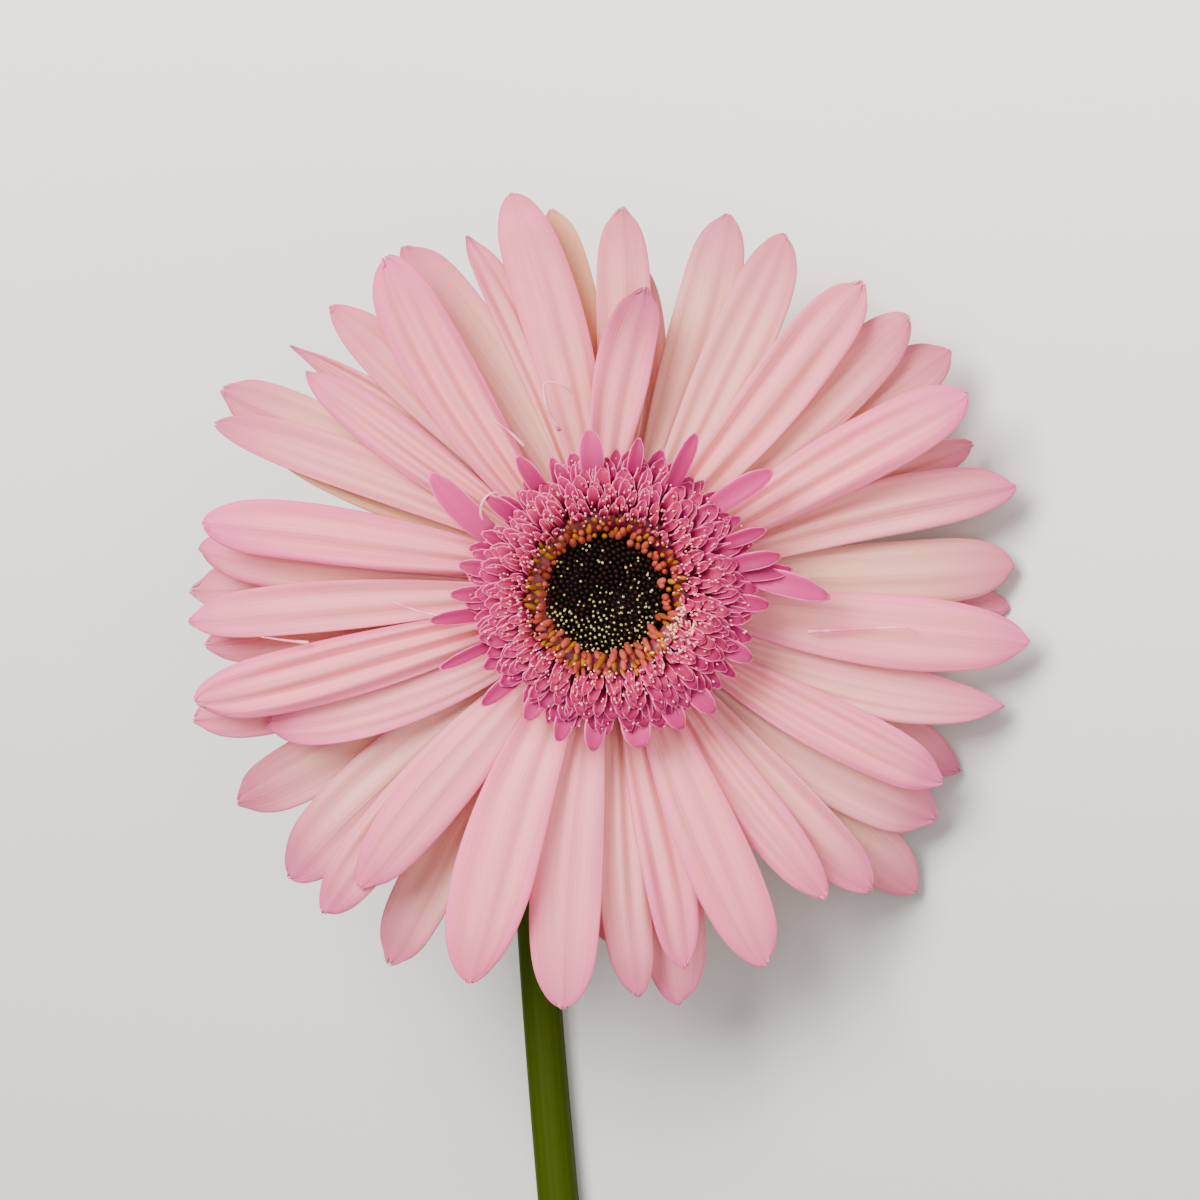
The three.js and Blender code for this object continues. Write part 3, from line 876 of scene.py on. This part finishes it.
class GERBERA_OT_trans_florets(bpy.types.Operator):
    """Makes the trans florets between the disc and the ray petals"""

    bl_idname = "gerbera.trans_florets"
    bl_label = "Trans florets"

    def execute(self, context):
        looks = context.scene.gerbera_florets
        finish = floret_finish(looks)
        rng = random.Random(SEED + 1)
        sheets = {
            "inner": Sheet("trans_florets_inner_whorls"),
            "outer": Sheet("trans_florets_outer_whorls"),
        }
        styles = Sheet("floret_styles")
        for i in range(TRANS_COUNT):
            t = (i + 0.5) / TRANS_COUNT
            bearing = i * GOLDEN
            reach = lerp(INNER_REACH, OUTER_REACH, t**0.85) + rng.uniform(-0.4, 0.5)
            root = lerp(9.7, 12.2, t)
            height = floret_height(reach) + rng.uniform(-0.2, 0.35)
            half = lerp(0.45, 1.1, smooth(t * 1.15)) * rng.uniform(0.8, 1.22)
            bend = (lerp(root, reach, 0.2), height + lerp(0.9, 1.6, t))
            course = (root, 0), bend, (reach, height)
            sweep = rng.uniform(-5, 5)
            shift = off_middle((1 - t) ** 2)
            channel = rng.uniform(0.2, 0.6)
            place = strap(course, bearing, sweep, half, channel, shift)
            young = (1 - t) * rng.uniform(0.5, 1.0)
            sheets["inner" if t < 0.5 else "outer"].grid(4, 5, place, young)
            for _ in range(1 + 2 * (t < 0.5)):
                if rng.random() < 0.95 - 0.5 * t:
                    back = rng.uniform(0.2, 1.8)
                    aside = rng.uniform(-6, 6)
                    lift = rng.uniform(0.4, 0.8)
                    spot = HEAD.at(reach - back, bearing + aside, height + lift) + shift
                    size = rng.uniform(0.11, 0.18) * MM
                    tall = rng.uniform(1.2, 3.5)
                    styles.bead(spot, size, tall, lean(bearing, 0.4), rng.random(), True)
        for _ in range(OPEN_COUNT):
            bearing, radius = rng.gauss(OPEN_BEARING, 13), rng.uniform(8.6, 12.0)
            spot = HEAD.at(radius, bearing, floret_height(radius) + rng.uniform(-0.3, 0.7))
            size = rng.uniform(0.14, 0.24) * MM
            tall = rng.uniform(1.5, 4)
            styles.bead(spot, size, tall, lean(rng.uniform(0, 360), 1.2), 0.9, True)
        for bearing, end, reach, half, height in LONG_FLORETS:
            course = (LONG_ROOT, 0), (lerp(LONG_ROOT, reach, 0.4), height + 2.0), (reach, height)
            place = strap(course, bearing, end - bearing, half, 0.35, blade=LONG_BLADE)
            sheets["outer"].grid(4, 8, place, (0.05, smooth((half - 0.9) / 1.0)))
        for name, sheet in sheets.items():
            piece = sheet.finish(finish, recalc=False)
            thicken(piece, FLORET_THICKNESS)
            settle(piece, "floret", "trans_florets_" + name)
        bed = Sheet("floret_bed")
        bed.ring(BED_PROFILE)
        flesh = plain_finish("bed_flesh", looks.floret_deep, (0.30, 0.02, 0.03), 600)
        settle(bed.finish(flesh), "floret")
        cream, deep = (0.95, 0.50, 0.36), (0.80, 0.12, 0.24)
        pale = tinted_finish("style_tips", looks.floret_rim, cream, deep, 900)
        settle(styles.finish(pale), "floret")
        return {"FINISHED"}


DISC_EDGE, DISC_TOP = whorl_reach("disc_florets")[1]
# The profile of what the disc's florets stand on.
DISC_PROFILE = [(8.6, 0.2), (8.8, 1.6), (8.2, 2.6), (4.0, 1.9), (0.8, 0.6)]
# The rings of buds: radius, how many, height, half width and the share of them that are gold.
BUD_RINGS = [
    (7.9, 44, 4.2, 0.55, 0.1),
    (8.7, 48, 4.7, 0.55, 0.3),
    (9.5, 52, 5.3, 0.5, 0.55),
    (10.2, 50, 5.7, 0.42, 0.5),
]


def disc_point(radius, bearing, height):
    """A point of the disc, in millimetres and degrees."""
    return HEAD.at(radius, bearing, height) + off_middle(1)


class GERBERA_OT_buds(bpy.types.Operator):
    """Makes the ring of unopened florets round the disc"""

    bl_idname = "gerbera.buds"
    bl_label = "Buds"

    def execute(self, context):
        looks = context.scene.gerbera_florets
        rng = random.Random(SEED + 2)
        buds = Sheet("floret_buds_ring")
        gold = Sheet("gold_buds")
        for row, (radius, count, height, size, golden) in enumerate(BUD_RINGS):
            for k in range(count):
                bearing = (k + rng.uniform(-0.35, 0.35)) * 360 / count + row * 4
                here = radius + rng.uniform(-0.35, 0.35)
                spot = disc_point(here, bearing, height + rng.uniform(-0.5, 0.4))
                wide = size * rng.uniform(0.7, 1.1) * MM
                low = smooth(-math.sin(math.radians(bearing)) + 0.3)
                axis = lean(bearing + rng.uniform(-30, 30), rng.uniform(-0.2, 0.9) + 0.6 * low)
                if rng.random() < golden:
                    gold.bead(spot, wide * 0.72, 2.6 + 0.8 * low, axis, rng.random())
                else:
                    buds.bead(spot, wide * 0.9, 1.9 + 0.6 * low, axis, rng.random())
        light, deep = (0.42, 0.07, 0.045), (0.10, 0.010, 0.003)
        pink = tinted_finish("bud_skin", looks.bud_pink, light, deep, 700)
        light, deep = (0.40, 0.16, 0.004), (0.14, 0.03, 0.002)
        amber = tinted_finish("gold_bud_skin", looks.bud_gold, light, deep, 700)
        settle(buds.finish(pink), "bud", "floret_buds")
        settle(gold.finish(amber), "bud")
        return {"FINISHED"}


class GERBERA_OT_disc(bpy.types.Operator):
    """Makes the dark disc florets and the pollen on them"""

    bl_idname = "gerbera.disc"
    bl_label = "Disc"

    def execute(self, context):
        looks = context.scene.gerbera_florets
        rng = random.Random(SEED + 3)
        beads = Sheet("disc_beads")
        pollen = Sheet("disc_pollen")

        def dome(r):
            hollow = 0.9 * (1 - smooth(r / 6.5)) + 0.9 * (1 - smooth(r / 2.2))
            return DISC_TOP + 1.4 - hollow - 0.3 * smooth((r - 7) / 1.2)

        beads.ring(DISC_PROFILE, 40)
        for i in range(DISC_COUNT):
            r = DISC_EDGE * math.sqrt((i + 0.5) / DISC_COUNT)
            bearing = i * GOLDEN
            height = dome(r) + rng.uniform(-0.08, 0.1)
            size = lerp(0.34, 0.42, r / DISC_EDGE) * MM
            spot = disc_point(r, bearing, height)
            beads.bead(spot, size, 1.3, lean(bearing, 0.02 * r), rng.random(), True)
            down = -math.sin(math.radians(bearing))
            chance = 0.16 + 0.74 * smooth((r * down + 2.0) / 6.0)
            if rng.random() < chance:
                for _ in range(1 + (rng.random() < 0.3)):
                    off = rng.uniform(-0.25, 0.25)
                    spot = disc_point(r + off, bearing + off * 9, height + 0.48)
                    grain = rng.uniform(0.12, 0.21) * MM
                    pollen.bead(spot, grain, 1.2, HEAD.out, rng.random(), True)
        light, deep = (0.015, 0.0035, 0.0018), (0.002, 0.0006, 0.0005)
        dark = tinted_finish("disc_skin", looks.disc_colour, light, deep, 1100)
        light, deep = (0.52, 0.46, 0.20), (0.17, 0.14, 0.015)
        dust = tinted_finish("pollen_dust", looks.pollen_colour, light, deep, 900)
        settle(beads.finish(dark), "disc", "disc_florets")
        settle(pollen.finish(dust, recalc=False), "disc")
        return {"FINISHED"}


BRACT_WHORLS = {"bracts_outer": (17, 1.9), "bracts_inner": (21, 2.2)}  # how many, half width
BRACT_BLADE = (0.7, 0.45, 1.6)


class GERBERA_OT_bracts(bpy.types.Operator):
    """Makes the green scale leaves under the head"""

    bl_idname = "gerbera.bracts"
    bl_label = "Bracts"

    def execute(self, context):
        looks = context.scene.gerbera_greens
        finish = leaf_finish(looks, "bract_skin", rim=True)
        rng = random.Random(SEED + 4)
        for node, (count, half) in BRACT_WHORLS.items():
            root, tip = whorl_reach(node)
            sheet = Sheet(node + "_leaves")
            for k in range(count):
                bearing = (k + rng.uniform(-0.15, 0.15)) * 360 / count
                end = (tip[0] * rng.uniform(0.93, 1.05), tip[1] + rng.uniform(-0.5, 0.3))
                bend = (lerp(root[0], tip[0], 0.65), lerp(root[1], tip[1], 0.35) - 0.6)
                wide = half * rng.uniform(0.9, 1.1)
                course, sweep = (root, bend, end), rng.uniform(-3, 3)
                place = strap(course, bearing, sweep, wide, 0.25, blade=BRACT_BLADE)
                sheet.grid(4, 9, place, rng.random())
            piece = sheet.finish(finish, recalc=False)
            thicken(piece, BRACT_THICKNESS, levels=1)
            settle(piece, "bract", node)
        return {"FINISHED"}


STEM_SIDES = 36
STEPS_PER_RING = 4  # along the stem, for each ring of its design solid


class GERBERA_OT_stem(bpy.types.Operator):
    """Makes the stem and the receptacle at its top"""

    bl_idname = "gerbera.stem"
    bl_label = "Stem"

    def execute(self, context):
        looks = context.scene.gerbera_greens
        rings = stem_rings()
        middles = [ring[0] for ring in rings]
        radii = [Vector((ring[1], 0, 0)) for ring in rings]
        steps = STEPS_PER_RING * (len(rings) - 1)
        frames = []
        side = Vector((1, 0, 0))
        for i in range(steps + 1):
            t = i / steps
            course = heading(middles, t, 0.004)
            side = (side - course * side.dot(course)).normalized()
            frames.append((along(middles, t), along(radii, t).x, side.copy(), course.cross(side)))
        sheet = Sheet("stem_and_receptacle")

        def place(v, u):
            centre, radius, side, up = frames[round(u * steps)]
            turn = math.pi * (v + 1)
            rib = 0.972 + 0.018 * math.cos(9 * turn + 2 * u) + 0.01 * math.cos(4 * turn + 6 * u)
            rib = lerp(rib, 1, smooth((radius / MM - 3.8) / 3))
            return centre + (side * math.cos(turn) + up * math.sin(turn)) * radius * rib

        sheet.tube(STEM_SIDES, steps, place)
        skin = leaf_finish(looks, "stem_skin", rim=False)
        pith = plain_finish("stem_pith", looks.pith, looks.green_light, 900, 0.6)
        piece = sheet.finish(skin, pith)
        cut = min(piece.data.polygons, key=lambda face: face.center.y)
        cut.material_index = 1
        cut.use_smooth = False
        settle(piece, "stem", "stem")
        return {"FINISHED"}


TABLE_SIZE = 12  # half its side, in metres
FACE_HEIGHT = -3.35  # height of the spot that the lights shine at, in millimetres
AIM = (-1.57, -1.05)  # how far right and up of that spot the camera looks, in millimetres
SKY_COLOUR = (1, 1, 0.985, 1)
SKY_STRENGTH = 0.34
SENSOR = 36  # width of the camera's sensor, in millimetres
# The lights: the size of each, and how far right, up and out it stands from that spot, in metres.
LIGHTS = {
    "key": (0.75, (-0.65, 0.52, 0.92)),
    "front": (0.5, (0.08, 0.0, 1.25)),
    "fill": (1.2, (0.8, -0.5, 1.1)),
}


class GERBERA_OT_stage(bpy.types.Operator):
    """Makes the table, the lights and the camera"""

    bl_idname = "gerbera.stage"
    bl_label = "Stage"

    def execute(self, context):
        looks = context.scene.gerbera_stage
        scene = context.scene
        top = bmesh.new()
        bmesh.ops.create_grid(top, x_segments=4, y_segments=4, size=TABLE_SIZE)
        data = bpy.data.meshes.new("table_top")
        top.to_mesh(data)
        top.free()
        data.materials.append(table_finish(looks.floor_colour))
        floor = bpy.data.objects.new("table_top", data)
        scene.collection.objects.link(floor)

        face = HEAD.centre + HEAD.out * FACE_HEIGHT * MM
        for name, (size, (right, up, out)) in LIGHTS.items():
            where = face + HEAD.right * right + HEAD.up * up + HEAD.out * out
            self.light(name + "_light", getattr(looks, name + "_power"), size, where, face)
        world = bpy.data.worlds.new("studio")
        world.use_nodes = True
        sky = world.node_tree.nodes["Background"]
        sky.inputs["Color"].default_value = SKY_COLOUR
        sky.inputs["Strength"].default_value = SKY_STRENGTH
        scene.world = world

        camera = bpy.data.cameras.new("camera")
        camera.sensor_width = SENSOR
        camera.lens = SENSOR * looks.view_distance / looks.view_width
        aim = face + (HEAD.right * AIM[0] + HEAD.up * AIM[1]) * MM
        turn = Matrix((HEAD.right, HEAD.up, HEAD.out)).transposed().to_4x4()
        turn.translation = aim + HEAD.out * looks.view_distance
        holder = bpy.data.objects.new("camera", camera)
        holder.matrix_world = turn
        scene.collection.objects.link(holder)
        scene.camera = holder
        return {"FINISHED"}

    def light(self, name, power, size, where, target):
        """Stands a square lamp somewhere, shining at the target."""
        lamp = bpy.data.lights.new(name, "AREA")
        lamp.energy = power
        lamp.size = size
        holder = bpy.data.objects.new(name, lamp)
        holder.location = where
        holder.rotation_euler = (target - where).to_track_quat("-Z", "Y").to_euler()
        holder.visible_camera = False
        bpy.context.scene.collection.objects.link(holder)


OPERATORS = (
    GERBERA_OT_petals,
    GERBERA_OT_threads,
    GERBERA_OT_trans_florets,
    GERBERA_OT_buds,
    GERBERA_OT_disc,
    GERBERA_OT_bracts,
    GERBERA_OT_stem,
    GERBERA_OT_stage,
)


class GERBERA_PT_panel(bpy.types.Panel):
    """Lists the pieces of the gerbera"""

    bl_idname = "GERBERA_PT_panel"
    bl_label = "Gerbera"
    bl_space_type = "VIEW_3D"
    bl_region_type = "UI"
    bl_category = "Gerbera"

    def draw(self, context):
        for operator in OPERATORS:
            self.layout.operator(operator.bl_idname)


SETTINGS = {
    "gerbera_petals": PetalSettings,
    "gerbera_florets": FloretSettings,
    "gerbera_greens": GreenSettings,
    "gerbera_stage": StageSettings,
}


def register():
    for cls in (*SETTINGS.values(), *OPERATORS, GERBERA_PT_panel):
        bpy.utils.register_class(cls)
    for name, group in SETTINGS.items():
        setattr(bpy.types.Scene, name, PointerProperty(type=group))


def unregister():
    for name in SETTINGS:
        delattr(bpy.types.Scene, name)
    for cls in reversed((*SETTINGS.values(), *OPERATORS, GERBERA_PT_panel)):
        bpy.utils.unregister_class(cls)


def main():
    register()
    bpy.ops.gerbera.petals()
    bpy.ops.gerbera.threads()
    bpy.ops.gerbera.trans_florets()
    bpy.ops.gerbera.buds()
    bpy.ops.gerbera.disc()
    bpy.ops.gerbera.bracts()
    bpy.ops.gerbera.stem()
    bpy.ops.gerbera.stage()


if __name__ == "__main__":
    main()
